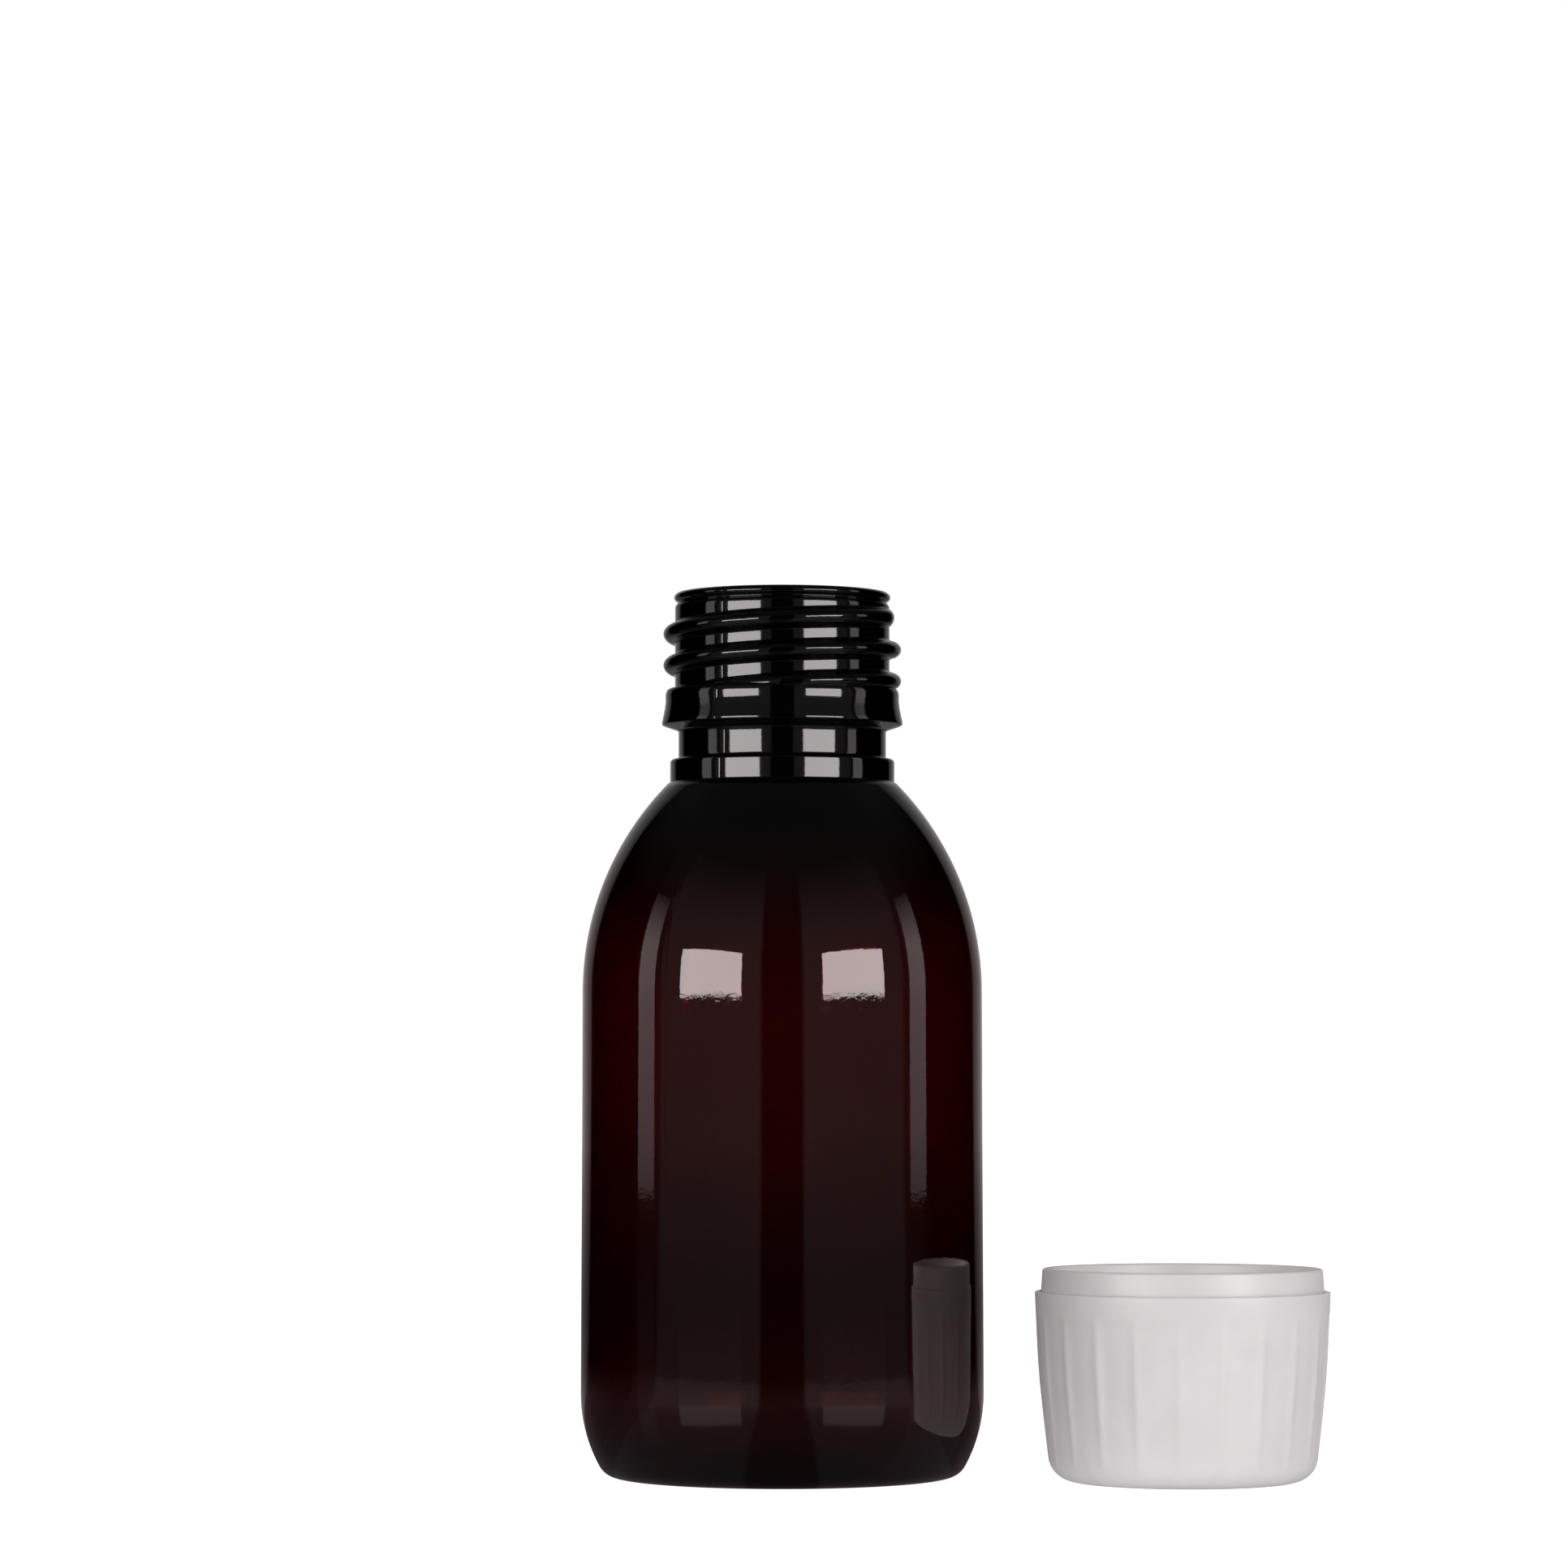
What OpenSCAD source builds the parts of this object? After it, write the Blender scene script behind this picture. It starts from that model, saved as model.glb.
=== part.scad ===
/* [Bottle] */
// Height from the table to the pouring lip
bottle_h = 101.4; // [90:0.1:130]
// Outer diameter just above the heel
body_d = 46.2; // [38:0.1:60]
// How much narrower the body is where the shoulder starts
body_draft = 0.3; // [0:0.1:1]
// Thickness of the blown wall
wall_t = 0.6; // [0.4:0.1:1.2]
// Radius of the shoulder curve in side view
shoulder_r = 34; // [28:1:40]
// Radius of the heel curve in side view
heel_r = 17; // [14:0.5:22]
// Height at which the heel curve meets the straight side
heel_h = 9.5; // [7:0.5:12]
// Small radius between the heel and the standing ring
foot_blend_r = 2.4; // [1.5:0.1:3]
// Width of the flat standing ring
foot_w = 0.8; // [0.5:0.1:1.5]
// Height of the domed push-up under the base
push_up_h = 4; // [2:0.5:6]

/* [Neck finish] */
// Diameter over the thread crests
thread_d = 27.44; // [24:0.02:34]
// Height of the thread ridge above the neck
thread_h = 1.35; // [1:0.05:1.5]
// Axial distance between thread turns
thread_pitch = 3.63; // [3.4:0.01:4.4]
// Number of thread turns on the neck
thread_turns = 2.5; // [1.5:0.25:2.5]
// Thickness of the moulded neck wall
neck_wall = 1.67; // [1.4:0.01:2.2]
// Height of the neck finish, from the shoulder to the lip
neck_h = 22; // [20:0.1:26]
// How far the tamper bead stands out past the thread
bead_out = 0.16; // [0:0.02:0.4]
// How far the transfer collar stands out past the neck
collar_out = 0.55; // [0.3:0.05:1]

/* [Closure] */
// Height of the whole closure, from crown to band mouth
closure_h = 24; // [23.5:0.1:26]
// How far the tamper band shows below the outer cap
band_show = 2.6; // [2:0.1:3]
// Number of grip flutes round the outer cap
flute_count = 21; // [12:1:30]
// Radius of the cutter that makes one flute
flute_r = 9; // [6:0.5:12]
// Direction of one rib between two flutes, in degrees
rib_dir = 264.4; // [0:0.1:360]
// Travel of the outer cap when it is pushed down
push_travel = 1.2; // [0.8:0.1:1.3]
// Gap between the two crowns with the outer cap at rest
push_gap = 2.2; // [2:0.1:2.6]
// Thickness of the foam liner
liner_t = 1; // [0.8:0.1:1.5]
// Number of drive lugs on each crown
lug_count = 12; // [6:1:16]
// Number of plastic spring fingers between the crowns
finger_count = 6; // [3:1:8]
// Number of frangible bridges that hold the band
bridge_count = 12; // [6:1:16]
// Number of folded flaps inside the band
flap_count = 8; // [4:1:10]

/* [Fits] */
// Clearance from the neck thread to the wall of the inner cap
thread_clear = 0.25; // [0.2:0.05:0.5]
// Clearance from the crest of the inner thread to the neck
crest_clear = 0.3; // [0.2:0.05:0.5]
// Clearance from the tamper bead to the inner cap
bead_clear = 0.32; // [0.2:0.02:0.6]
// Clearance between the outer cap and the inner cap
shell_clear = 0.15; // [0.1:0.05:0.3]
// Clearance between the outer cap and the tamper band
band_clear = 0.17; // [0.1:0.01:0.3]
// Clearance between the flaps of the band and the underside of the bead
flap_clear = 0.04; // [0.02:0.01:0.3]
// Clearance left by the liner above the lip and under the crown
seal_gap = 0.03; // [0.02:0.01:0.1]

/* [Layout] */
// Free space between the bottle and the closure standing beside it
stand_gap = 6.1; // [4:0.1:20]
// Direction from the bottle to the closure, in degrees
stand_dir = -8.8; // [-60:0.1:60]

/* [Hidden] */
$fn = 96;
eps = 0.01;

// Neck radii
thread_r = thread_d / 2;
neck_r = thread_r - thread_h;
bore_r = neck_r - neck_wall;
bead_r = thread_r + bead_out;
bead_top_r = bead_r - 0.42;
groove_r = neck_r - 0.42;
collar_r = neck_r + collar_out;
lip_r = neck_r + 0.05;
undercut_r = neck_r - 0.45;

// Neck heights, all taken down from the lip
lip_low_z = bottle_h - 0.5;
undercut_z = bottle_h - 0.8;
undercut_low_z = bottle_h - 1.25;
thread_top_z = bottle_h - 2.9;
bead_top_z = bottle_h - 11;
bead_side_z = bottle_h - 11.7;
bead_waist_z = bottle_h - 12.6;
bead_edge_z = bottle_h - 15.1;
bead_under_z = bottle_h - 15.9;
collar_top_z = bottle_h - 19.2;
collar_low_z = bottle_h - neck_h + 0.1;
shoulder_z = bottle_h - neck_h;
collar_chamfer = 0.3;
collar_step = 0.25;

// Body radii and the centres of its curves
body_r = body_d / 2;
body_top_r = body_r - body_draft / 2;
shoulder_cx = body_top_r - shoulder_r;
shoulder_top_r = collar_r + collar_step;
shoulder_angle = acos((shoulder_top_r - shoulder_cx) / shoulder_r);
shoulder_cz = shoulder_z - shoulder_r * sin(shoulder_angle);
heel_cx = body_r - heel_r;
heel_angle = asin((heel_h - foot_blend_r) / (heel_r - foot_blend_r));
foot_r = heel_cx + (heel_r - foot_blend_r) * cos(heel_angle);
foot_in_r = foot_r - foot_w;
dome_r = (foot_in_r * foot_in_r + push_up_h * push_up_h) / (2 * push_up_h);
dome_angle = asin(foot_in_r / dome_r);

// Closure depths, all taken from the face of the crown towards the mouth
crown_recess = 0.4;
crown_t = 1;
inner_crown_t = 1.15;
shell_h = closure_h - band_show;
crown_under = crown_recess + crown_t;
inner_top = crown_under + push_gap;
inner_under = inner_top + inner_crown_t;
lip_depth = inner_under + seal_gap + liner_t + seal_gap;
seated_top_z = bottle_h + lip_depth;
bead_depth = seated_top_z - bead_top_z;
skirt_end = bead_depth + 3.1;
band_start = skirt_end + 0.4;
flap_depth = seated_top_z - bead_under_z + flap_clear;

// Closure radii, built outwards from the neck finish
root_r = thread_r + thread_clear;
over_bead_r = bead_r + bead_clear;
skirt_r = over_bead_r + 0.85;
catch_r = skirt_r + 0.35;
catch_w = 0.8;
catch_depth = skirt_end - 3.3;
shell_in_r = catch_r + shell_clear;
snap_r = skirt_r + shell_clear;
band_r = skirt_r + 1;
band_top_r = skirt_r + 0.55;
band_mouth_r = band_r - 0.17;
band_in_r = over_bead_r + 0.4;
shell_r = band_r + band_clear + 0.53;
mouth_in_r = band_r + band_clear;
upper_r = neck_r + 0.63;
liner_r = upper_r - 0.1;
liner_lip_r = liner_r - 0.15;
crown_edge_r = shell_r - 4.46;
crown_corner_r = 3;
recess_r = crown_edge_r - 0.4;
shoulder_out_r = crown_edge_r + crown_corner_r;

// Drive lugs and spring fingers between the crowns
lug_h = push_gap - push_travel - 0.1;
lug_out_r = upper_r - 0.3;
lug_in_r = lug_out_r - 2.6;
lug_pitch = 360 / lug_count;
lug_angle = lug_pitch / 3;
finger_t = 0.35;
finger_w = 2.4;
finger_run = 3.2;
finger_r = lug_in_r - finger_w - 0.6;

// Turn arrows
arrow_count = 3;
arrow_h = 0.3;
arrow_r = recess_r - 3;
arrow_w = 0.9;
arrow_sweep = 62;
arrow_head = 2.6;

// The closure stands crown down beside the bottle
stand_distance = body_r + shell_r + stand_gap;
stand_x = stand_distance * cos(stand_dir);
stand_y = stand_distance * sin(stand_dir);

// Thread ridges: each profile is [height above the wall, half width], from root to crest
ring_step = 10;
embed = 0.3;
neck_ridge = [[-embed, 1.4], [0.72 * thread_h, 0.78], [thread_h, 0.32]];
cap_ridge_h = root_r - neck_r - crest_clear;
cap_ridge = [[-embed, 1.2], [cap_ridge_h, 0.35]];
// A half turn about a level axis maps each direction on the closure to this one minus it
flip_direction = 2 * stand_dir - 180;
cap_phase_z = seated_top_z - thread_top_z + thread_pitch * (0.5 - flip_direction / 360);
cap_thread_z = inner_under + 5.2;
cap_thread_end = bead_depth - 0.87;
cap_thread_turns = (cap_thread_end - cap_thread_z) / thread_pitch;
cap_start = (ceil((cap_thread_z - cap_phase_z) / thread_pitch * 360 / ring_step) + 0.5) * ring_step;

// Points of an arc in the side view, from angle a0 to a1 in n steps
function arc(cx, cz, r, a0, a1, n) =
    [for (i = [0:n]) let (a = a0 + (a1 - a0) * i / n) [cx + r * cos(a), cz + r * sin(a)]];

// One ring of a ridge: a closed outline in the half plane at the angle a
function ridge_ring(r, side, profile, z, a, grow) =
    let (
        depth = [for (p = profile) grow * (p[0] + embed) - embed],
        low = [for (i = [0:len(profile) - 1]) [r + side * depth[i], z - profile[i][1]]],
        high = [for (i = [len(profile) - 1:-1:0]) [r + side * depth[i], z + profile[i][1]]],
        outline = concat(low, high)
    )
    [for (p = outline) [p[0] * cos(a), p[0] * sin(a), p[1]]];

// A helical ridge on the outside (side = 1) or the inside (side = -1) of a round wall
module ridge(r, side, profile, z0, a0, turns, fade) {
    steps = round(turns * 360 / ring_step);
    n = 2 * len(profile);
    rings = [for (i = [0:steps])
        let (a = a0 + i * ring_step, grow = min(1, 0.15 + min(i, steps - i) * ring_step / fade))
        ridge_ring(r, side, profile, z0 + thread_pitch * a / 360, a, grow)];
    points = [for (ring = rings) each ring];
    sides = [for (i = [0:steps - 1]) for (j = [0:n - 1])
        let (k = (j + 1) % n, a = i * n + j, b = i * n + k, c = a + n, d = b + n)
        each side > 0 ? [[a, b, c], [b, d, c]] : [[a, c, b], [b, c, d]]];
    first = [for (j = [0:n - 1]) side > 0 ? n - 1 - j : j];
    last = [for (j = [0:n - 1]) steps * n + (side > 0 ? j : n - 1 - j)];
    polyhedron(points, concat([first], sides, [last]));
}

// Part of a ring with a rectangular section
module ring_sector(r_in, r_out, z_low, z_high, a, sweep) {
    rotate([0, 0, a])
        rotate_extrude(angle = sweep)
            polygon([[r_in, z_low], [r_out, z_low], [r_out, z_high], [r_in, z_high]]);
}

// Moves a closure piece from its own axis to its place on the table
module standing() {
    translate([stand_x, stand_y, 0]) children();
}

// Outside of the body, from the centre of the base to the top of the shoulder
function body_outside() = concat(
    arc(0, push_up_h - dome_r, dome_r, 90, 90 - dome_angle, 8),
    arc(foot_r, foot_blend_r, foot_blend_r, -90, -heel_angle, 6),
    arc(heel_cx, heel_h, heel_r, -heel_angle + 3, 0, 8),
    arc(shoulder_cx, shoulder_cz, shoulder_r, 0, shoulder_angle, 16)
);

// Outside of the neck finish, from the collar to the lip
function neck_outside() = [
    [collar_r, collar_low_z],
    [collar_r, collar_top_z - collar_chamfer],
    [collar_r - collar_chamfer, collar_top_z],
    [groove_r, collar_top_z],
    [groove_r, bead_under_z],
    [bead_r, bead_edge_z - 0.2],
    [bead_r, bead_edge_z],
    [bead_top_r, bead_waist_z],
    [bead_top_r, bead_side_z],
    [bead_top_r - 0.2, bead_top_z - 0.25],
    [bead_top_r - 0.6, bead_top_z],
    [neck_r, bead_top_z],
    [neck_r, undercut_low_z],
    [undercut_r, undercut_z],
    [lip_r, lip_low_z],
    [lip_r, bottle_h - 0.2],
    [lip_r - 0.2, bottle_h]
];

// Inside of the bottle, from the lip down to the centre of the base
function bottle_inside() = concat(
    [[bore_r + 0.2, bottle_h], [bore_r, bottle_h - 0.2], [bore_r, shoulder_z + 0.8]],
    arc(shoulder_cx, shoulder_cz, shoulder_r - wall_t, shoulder_angle, 0, 16),
    arc(heel_cx, heel_h, heel_r - wall_t, 0, -heel_angle + 3, 8),
    arc(foot_r, foot_blend_r, foot_blend_r - wall_t, -heel_angle, -90, 6),
    arc(0, push_up_h - dome_r, dome_r + wall_t, 90 - dome_angle, 90, 8)
);

module bottle() {
    color([0.2, 0.07, 0.07]) {
        rotate_extrude() polygon(concat(body_outside(), neck_outside(), bottle_inside()));
        ridge(neck_r, 1, neck_ridge, thread_top_z, -360 * thread_turns + ring_step / 2, thread_turns, 40);
    }
}

// Side of the outer cap, from the standing edge of the crown to the mouth
function shell_outside() = concat(
    [[0, crown_recess], [recess_r, crown_recess], [recess_r + 0.4, 0]],
    arc(crown_edge_r, crown_corner_r, crown_corner_r, -90, -8, 8),
    [
        [shell_r - 0.89, 0.36 * shell_h],
        [shell_r - 0.52, 0.53 * shell_h],
        [shell_r - 0.32, 0.66 * shell_h],
        [shell_r, shell_h - 0.25],
        [shell_r - 0.25, shell_h]
    ]
);

function shell_inside() = [
    [mouth_in_r + 0.05, shell_h],
    [mouth_in_r, shell_h - push_travel - 0.1],
    [band_top_r + band_clear, band_start - push_travel - 0.1],
    [shell_in_r, catch_depth + catch_w + 1],
    [snap_r, catch_depth + catch_w + 0.7],
    [snap_r, catch_depth + catch_w + 0.25],
    [shell_in_r, catch_depth + catch_w + 0.05],
    [shell_in_r, 0.66 * shell_h],
    [shell_r - 1.36, 0.53 * shell_h],
    [shell_r - 1.81, 0.36 * shell_h],
    [shoulder_out_r - 0.95, 3],
    [shoulder_out_r - 1.6, crown_under + 0.6],
    [shoulder_out_r - 2.2, crown_under],
    [0, crown_under]
];

// One flute cutter leans with the side of the cap and keeps to its own share of the circle
module flute(a) {
    low_z = 2.3;
    high_z = shell_h - 2.6;
    low_r = shoulder_out_r - 0.2;
    high_r = shell_r - 0.24;
    lean = atan((high_r - low_r) / (high_z - low_z));
    share = 0.9 * 360 / flute_count;
    rotate([0, 0, a])
        intersection() {
            ring_sector(low_r - 2, shell_r + 1, low_z, high_z, -share / 2, share);
            translate([low_r + flute_r, 0, low_z])
                rotate([0, lean, 0])
                    translate([0, 0, -2])
                        cylinder(r = flute_r, h = high_z - low_z + 4);
        }
}

module outer_cap() {
    color([0.84, 0.83, 0.83]) standing() {
        difference() {
            rotate_extrude() polygon(concat(shell_outside(), shell_inside()));
            for (i = [0:flute_count - 1]) flute(rib_dir + (i + 0.5) * 360 / flute_count);
        }
        for (i = [0:lug_count - 1])
            ring_sector(lug_in_r, lug_out_r, crown_under - eps, crown_under + lug_h,
                        i * lug_pitch, lug_angle);
    }
}

// Plastic fingers under the outer crown that hold the two crowns apart
module spring_fingers() {
    color([0.82, 0.81, 0.8]) standing()
        for (i = [0:finger_count - 1])
            rotate([0, 0, i * 360 / finger_count])
                translate([finger_r, 0, 0])
                    rotate([90, 0, 90])
                        linear_extrude(height = finger_w)
                            polygon([
                                [-finger_run / 2, crown_under],
                                [-finger_run / 2 + 2 * finger_t, crown_under],
                                [finger_run / 2, inner_top - finger_t],
                                [finger_run / 2, inner_top],
                                [finger_run / 2 - finger_t, inner_top]
                            ]);
}

module inner_cap() {
    color([0.93, 0.93, 0.92]) standing() {
        rotate_extrude() polygon([
            [0, inner_top],
            [upper_r + 0.3, inner_top],
            [upper_r + 0.95, inner_top + 0.6],
            [root_r + 0.55, inner_top + 4],
            [skirt_r, 0.53 * shell_h],
            [skirt_r, catch_depth - 0.3],
            [catch_r, catch_depth],
            [catch_r, catch_depth + catch_w],
            [skirt_r, catch_depth + catch_w],
            [skirt_r, skirt_end],
            [over_bead_r, skirt_end],
            [over_bead_r, bead_depth - 0.4],
            [root_r, bead_depth - 1],
            [root_r, lip_depth + 2.6],
            [upper_r, lip_depth + 1.9],
            [upper_r, lip_depth + 0.7],
            [liner_lip_r, lip_depth + 0.4],
            [liner_lip_r, lip_depth + 0.2],
            [upper_r, lip_depth + 0.05],
            [upper_r, inner_under],
            [0, inner_under]
        ]);
        ridge(root_r, -1, cap_ridge, cap_phase_z, cap_start, cap_thread_turns, 30);
        for (i = [0:lug_count - 1])
            ring_sector(lug_in_r, lug_out_r, inner_top - lug_h, inner_top + eps,
                        (i + 0.5) * lug_pitch, lug_angle);
    }
}

module liner() {
    color([0.96, 0.96, 0.94]) standing()
        translate([0, 0, inner_under + seal_gap])
            cylinder(r = liner_r, h = liner_t);
}

// The band's flaps fold inwards and catch under the bead of the neck
module tamper_band() {
    flap_pitch = 360 / flap_count;
    flap_tip_r = groove_r + 0.75;
    flap_t = 0.25;
    color([0.85, 0.84, 0.84]) standing() {
        rotate_extrude() polygon([
            [band_in_r, band_start],
            [band_top_r, band_start],
            [band_r, shell_h],
            [band_mouth_r, closure_h - 0.2],
            [band_mouth_r - 0.2, closure_h],
            [band_in_r + 0.2, closure_h],
            [band_in_r, closure_h - 0.2]
        ]);
        for (i = [0:flap_count - 1])
            rotate([0, 0, i * flap_pitch])
                rotate_extrude(angle = 0.82 * flap_pitch)
                    polygon([
                        [band_in_r + 0.1, flap_depth + 1.5 * flap_t],
                        [band_in_r + 0.1, flap_depth + 3.6 * flap_t],
                        [band_in_r - 0.3, flap_depth + 3.6 * flap_t],
                        [flap_tip_r, flap_depth + flap_t],
                        [flap_tip_r + 0.35, flap_depth]
                    ]);
    }
}

// Thin posts that tear when the closure is first opened
module frangible_bridges() {
    bridge_sweep = 2.8;
    color([0.87, 0.86, 0.86]) standing()
        for (i = [0:bridge_count - 1])
            ring_sector(band_in_r, skirt_r, skirt_end, band_start,
                        i * 360 / bridge_count, bridge_sweep);
}

// Raised arrows in the recess of the crown, which show the way to turn
module turn_arrows() {
    color([0.8, 0.79, 0.79]) standing()
        for (i = [0:arrow_count - 1])
            rotate([0, 0, i * 360 / arrow_count]) {
                ring_sector(arrow_r, arrow_r + arrow_w, crown_recess - arrow_h - eps,
                            crown_recess - eps, 0, arrow_sweep);
                translate([0, 0, crown_recess - arrow_h - eps])
                    linear_extrude(height = arrow_h)
                        polygon([
                            [arrow_r + arrow_w / 2 - arrow_head / 2, eps],
                            [arrow_r + arrow_w / 2 + arrow_head / 2, eps],
                            [arrow_r + arrow_w / 2, -arrow_head]
                        ]);
            }
}

bottle();
outer_cap();
spring_fingers();
inner_cap();
liner();
tamper_band();
frangible_bridges();
turn_arrows();
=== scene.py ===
"""Amber medicine bottle with its child-resistant closure standing crown down beside it."""
import math

import bmesh
import bpy
from mathutils import Matrix, Vector, noise


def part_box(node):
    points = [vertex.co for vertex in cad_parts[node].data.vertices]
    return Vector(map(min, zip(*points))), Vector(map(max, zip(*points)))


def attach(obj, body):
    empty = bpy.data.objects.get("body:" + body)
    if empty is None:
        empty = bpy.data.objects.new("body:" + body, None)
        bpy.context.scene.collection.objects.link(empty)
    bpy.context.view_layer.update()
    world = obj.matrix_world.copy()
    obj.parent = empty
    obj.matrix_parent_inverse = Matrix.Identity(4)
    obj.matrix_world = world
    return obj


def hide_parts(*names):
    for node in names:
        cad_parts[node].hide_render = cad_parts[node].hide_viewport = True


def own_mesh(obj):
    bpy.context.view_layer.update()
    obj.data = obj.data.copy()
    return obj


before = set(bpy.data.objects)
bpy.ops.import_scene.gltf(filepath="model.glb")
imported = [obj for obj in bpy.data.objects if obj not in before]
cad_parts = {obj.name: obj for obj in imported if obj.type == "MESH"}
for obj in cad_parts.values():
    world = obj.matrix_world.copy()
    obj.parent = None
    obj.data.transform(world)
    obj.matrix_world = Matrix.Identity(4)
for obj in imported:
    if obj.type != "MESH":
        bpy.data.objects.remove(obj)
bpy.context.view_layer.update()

MM = 0.001
scene = bpy.context.scene


# ---------------------------------------------------------------- sizes, in millimetres

# Bottle
LIP_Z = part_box("bottle")[1].z / MM
BODY_R = 23.1
BODY_TOP_R = 22.95
WALL_T = 0.6
SHOULDER_R = 34
HEEL_R = 17
HEEL_H = 9.5
FOOT_BLEND_R = 2.4
FOOT_W = 0.8
PUSH_UP_H = 4

# Neck finish
THREAD_R = 13.72
THREAD_H = 1.35
THREAD_HALF_W = 1.05
PITCH = 3.63
NECK_RUN = (-870, 8)
NECK_FADES = (80, 34)
NECK_R = THREAD_R - THREAD_H
BORE_R = NECK_R - 1.67
BEAD_R = THREAD_R + 0.16
BEAD_TOP_R = BEAD_R - 0.42
GROOVE_R = NECK_R - 0.42
COLLAR_R = NECK_R + 0.55
LIP_R = NECK_R + 0.05
BEAD_TOP_Z = LIP_Z - 11
COLLAR_TOP_Z = LIP_Z - 19.2
SHOULDER_Z = LIP_Z - 22
THREAD_TOP_Z = LIP_Z - 2.9
PARTING_DIR = -124

# Closure, standing crown down: heights are taken from the face of the crown
CLOSURE_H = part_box("tamper_band")[1].z / MM
SHELL_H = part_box("outer_cap")[1].z / MM
LINER_LOW, LINER_HIGH = (corner.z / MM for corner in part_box("liner"))
CLOSURE_AXIS = (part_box("liner")[0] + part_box("liner")[1]) / 2 / MM
CROWN_RECESS = 0.4
CROWN_UNDER = 1.4
INNER_TOP = 3.6
INNER_UNDER = 4.75
LIP_DEPTH = LINER_HIGH + 0.03
SEATED_TOP_Z = LIP_Z + LIP_DEPTH
BEAD_DEPTH = SEATED_TOP_Z - BEAD_TOP_Z
SKIRT_END = BEAD_DEPTH + 3.1
BAND_START = SKIRT_END + 0.4
FLAP_DEPTH = SEATED_TOP_Z - (LIP_Z - 15.9) + 0.04
PUSH = 1.2
FLUTES = 21
RIB_DIR = 264.4
ROOT_R = THREAD_R + 0.25
CAP_THREAD_H = 1.28
CAP_THREAD_HALF_W = 0.9
CAP_FADES = (30, 30)
OVER_BEAD_R = BEAD_R + 0.32
SKIRT_R = OVER_BEAD_R + 0.85
CATCH_R = SKIRT_R + 0.35
CATCH_Z = SKIRT_END - 3.3
BAND_R = SKIRT_R + 1
BAND_IN_R = OVER_BEAD_R + 0.4
SHELL_R = BAND_R + 0.7
CROWN_EDGE_R = SHELL_R - 4.46
CROWN_CORNER_R = 3
RECESS_R = CROWN_EDGE_R - 0.4
UPPER_R = NECK_R + 0.63
LUGS = 12
LUG_OUT_R = UPPER_R - 0.3
LUG_IN_R = LUG_OUT_R - 2.6
LUG_H = 0.9
FINGERS = 6
FINGER_IN_R = 7.1
FINGER_W = 2.4
FINGER_RUN = 3.2
FINGER_T = 0.35
BRIDGES = 12
FLAPS = 8
ARROWS = 3
ARROW_R = RECESS_R - 3
ARROW_W = 0.9
ARROW_H = 0.3
ARROW_SWEEP = 62
ARROW_HEAD = 2.6

# Camera and lights, in metres and degrees. A turn is measured from the camera's side.
CAMERA_PLACE = (0.0002, -0.624, 0.048)
CAMERA_TILT = 2.88
CAMERA_LENS = 124.4
CAMERA_SENSOR = 36
LIGHT_DISTANCE = 1.0
SOFTBOX_TURN = 41.5
SOFTBOX_HALF_ANGLE = 18.5
SOFTBOX_HEIGHTS = (0.076, 0.318)
STRIP_TURN = 83.5
STRIP_HALF_ANGLE = 6.1
STRIP_HEIGHTS = (0.012, 0.60)
STRIP_FALL = [(0, 0.35), (0.04, 0.6), (0.14, 0.95), (0.5, 1.0), (0.75, 0.5), (1, 0.05)]


# ---------------------------------------------------------------- shaping tools


def arc(cx, cz, r, start, end, steps):
    """Points of an arc in the side view, from one angle to another in degrees."""
    angles = [math.radians(start + (end - start) * i / steps) for i in range(steps + 1)]
    return [(cx + r * math.cos(a), cz + r * math.sin(a)) for a in angles]


def soften(outline, radius, steps=3, closed=False):
    """The outline with each real corner turned into a small curve."""
    points = [Vector(p) for p in outline]
    softened = []
    for i, corner in enumerate(points):
        if not closed and i in (0, len(points) - 1):
            softened.append(corner)
            continue
        before = points[i - 1] - corner
        after = points[(i + 1) % len(points)] - corner
        if before.angle(after) > math.radians(160):
            softened.append(corner)
            continue
        cut = min(radius, 0.42 * before.length, 0.42 * after.length)
        first = corner + before.normalized() * cut
        last = corner + after.normalized() * cut
        for k in range(steps + 1):
            t = k / steps
            softened.append((1 - t) ** 2 * first + 2 * t * (1 - t) * corner + t * t * last)
    return [(p.x, p.y) for p in softened]


def add_rows(outline, low, high, step):
    """The outline with its long stretches between two heights split into short ones."""
    finer = [outline[0]]
    for start, end in zip(outline, outline[1:]):
        inside = low <= min(start[1], end[1]) and max(start[1], end[1]) <= high
        count = max(1, math.ceil(math.dist(start, end) / step)) if inside else 1
        for k in range(1, count + 1):
            t = k / count
            finer.append((start[0] + (end[0] - start[0]) * t, start[1] + (end[1] - start[1]) * t))
    return finer


def revolve(outside, inside, segments):
    """A full turn of an outline from axis to axis. Its outside is marked in a vertex layer."""
    bm = bmesh.new()
    marked = bm.verts.layers.float.new("outside")
    verts = []
    for mark, outline in ((1, outside), (0, inside)):
        for r, z in outline:
            vert = bm.verts.new((r, 0, z))
            vert[marked] = mark
            verts.append(vert)
    edges = [bm.edges.new(pair) for pair in zip(verts, verts[1:])]
    bmesh.ops.spin(bm, geom=verts + edges, cent=(0, 0, 0), axis=(0, 0, 1),
                   angle=math.tau, steps=segments, use_merge=True)
    bmesh.ops.remove_doubles(bm, verts=bm.verts, dist=1e-5)
    return bm


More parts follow.
